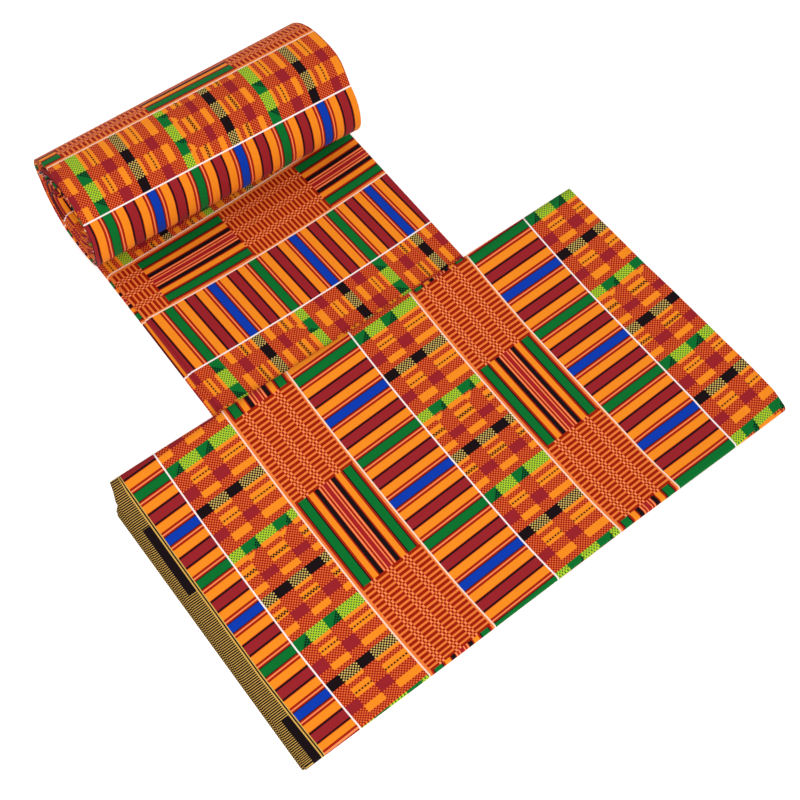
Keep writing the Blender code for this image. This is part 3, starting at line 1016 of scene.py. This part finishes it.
for colour_name, colour_code in WAX_PRINT.items():
    ClothPrintSettings.__annotations__[colour_name] = FloatVectorProperty(
        name=colour_name.replace("_", " ").capitalize(), description="Colour in the print",
        default=linear(colour_code), subtype="COLOR", min=0.0, max=1.0)


class ClothStageSettings(PropertyGroup):
    floor_size: setting("Floor size", "Side of the square floor", 8.0)
    light_power: setting("Light power", "Power of the large lamp", 7.5, "POWER")
    sky: setting("Surrounding light", "Strength of the even white light", 0.585, "NONE")
    fill_power: setting("Fill power", "Power of the lamp in front", 17.0, "POWER")
    lens: setting("Lens", "Focal length of the camera", 58.77, "CAMERA")


def cloth_material():
    """The print's material, made once for both sheets."""
    material = bpy.data.materials.get("wax_print_cotton")
    return material or wax_print_cotton(bpy.context.scene.cloth_print)


class CLOTH_OT_panel(Operator):
    """Make the folded panel"""
    bl_idname = "cloth.folded_panel"
    bl_label = "Folded panel"

    def execute(self, context):
        scene = context.scene
        points, places = panel_grid(scene.cloth_panel, scene.cloth_strip)
        piece = cloth_object("folded_panel", points, places, scene.cloth_print.thickness, cloth_material())
        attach(piece, "root")
        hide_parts("cloth")
        return {"FINISHED"}


class CLOTH_OT_strip(Operator):
    """Make the strip and the roll"""
    bl_idname = "cloth.rolled_strip"
    bl_label = "Strip and roll"

    def execute(self, context):
        scene = context.scene
        points, places = strip_grid(scene.cloth_strip)
        piece = cloth_object("rolled_strip", points, places, scene.cloth_print.thickness, cloth_material())
        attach(piece, "root")
        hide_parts("cloth")
        return {"FINISHED"}


LARGE_LAMP_SIZE = 2.2
LARGE_LAMP_PLACE = (0.3, 0.9, 2.2)
FILL_LAMP_SIZE = 1.2
FILL_LAMP_PLACE = (-0.7, -1.1, 1.5)
WHITE = (1.0, 1.0, 1.0, 1.0)
PAPER_GLOW = 0.38
PAPER_ROUGHNESS = 0.9

SENSOR_WIDTH = 36.0
CAMERA_PLACE = (-0.3667, -0.5352, 1.1415)
CAMERA_RIGHT = (0.7952, -0.6061, 0.0173)
CAMERA_UP = (0.5350, 0.7147, 0.4505)
CAMERA_BACK = (-0.2854, -0.3490, 0.8926)


class CLOTH_OT_stage(Operator):
    """Make the floor, the lights and the camera"""
    bl_idname = "cloth.stage"
    bl_label = "Stage"

    def execute(self, context):
        settings = context.scene.cloth_stage
        half = settings.floor_size / 2
        mesh = bpy.data.meshes.new("floor")
        mesh.from_pydata([(-half, -half, 0), (half, -half, 0), (half, half, 0), (-half, half, 0)], [],
                         [(0, 1, 2, 3)])
        floor = bpy.data.objects.new("floor", mesh)
        context.scene.collection.objects.link(floor)
        material = bpy.data.materials.new("white_paper")
        material.use_nodes = True
        shader = material.node_tree.nodes["Principled BSDF"]
        set_sockets(shader, {"Base Color": WHITE, "Roughness": PAPER_ROUGHNESS,
                             "Emission Color": WHITE, "Emission Strength": PAPER_GLOW})
        mesh.materials.append(material)

        world = bpy.data.worlds.new("soft_studio")
        world.use_nodes = True
        set_sockets(world.node_tree.nodes["Background"], {"Color": WHITE, "Strength": settings.sky})
        context.scene.world = world
        context.scene.view_settings.view_transform = "Standard"
        for name, size, power, place in (
                ("large_lamp", LARGE_LAMP_SIZE, settings.light_power, LARGE_LAMP_PLACE),
                ("fill_lamp", FILL_LAMP_SIZE, settings.fill_power, FILL_LAMP_PLACE)):
            lamp = bpy.data.lights.new(name, "AREA")
            lamp.shape = "DISK"
            lamp.size = size
            lamp.energy = power
            lamp_object = bpy.data.objects.new(name, lamp)
            lamp_object.location = place
            lamp_object.rotation_euler = (-Vector(place)).to_track_quat("-Z", "Y").to_euler()
            context.scene.collection.objects.link(lamp_object)

        camera = bpy.data.cameras.new("camera")
        camera.lens = settings.lens
        camera.sensor_width = SENSOR_WIDTH
        camera_object = bpy.data.objects.new("camera", camera)
        axes = Matrix((CAMERA_RIGHT, CAMERA_UP, CAMERA_BACK)).transposed().to_4x4()
        camera_object.matrix_world = Matrix.Translation(CAMERA_PLACE) @ axes
        context.scene.collection.objects.link(camera_object)
        context.scene.camera = camera_object
        return {"FINISHED"}


class CLOTH_PT_sidebar(Panel):
    """Sizes and colours of the cloth"""
    bl_idname = "CLOTH_PT_sidebar"
    bl_label = "Ankara fabric"
    bl_space_type = "VIEW_3D"
    bl_region_type = "UI"
    bl_category = "Ankara fabric"

    def draw(self, context):
        for operator, settings in (
                ("cloth.rolled_strip", context.scene.cloth_strip),
                ("cloth.folded_panel", context.scene.cloth_panel),
                ("cloth.stage", context.scene.cloth_stage)):
            box = self.layout.box()
            for name in settings.__annotations__:
                box.prop(settings, name)
            box.operator(operator)
        box = self.layout.box()
        for name in context.scene.cloth_print.__annotations__:
            box.prop(context.scene.cloth_print, name)


SETTINGS = {
    "cloth_panel": ClothPanelSettings,
    "cloth_strip": ClothStripSettings,
    "cloth_print": ClothPrintSettings,
    "cloth_stage": ClothStageSettings,
}
CLASSES = (*SETTINGS.values(), CLOTH_OT_panel, CLOTH_OT_strip, CLOTH_OT_stage, CLOTH_PT_sidebar)


def register():
    """Register the classes and give the scene its settings."""
    for item in CLASSES:
        bpy.utils.register_class(item)
    for name, group in SETTINGS.items():
        setattr(bpy.types.Scene, name, PointerProperty(type=group))


def unregister():
    """Take the settings and the classes away again."""
    for name in SETTINGS:
        delattr(bpy.types.Scene, name)
    for item in reversed(CLASSES):
        bpy.utils.unregister_class(item)


def main():
    """Make the two sheets and the stage."""
    register()
    bpy.ops.cloth.rolled_strip()
    bpy.ops.cloth.folded_panel()
    bpy.ops.cloth.stage()


if __name__ == "__main__":
    main()
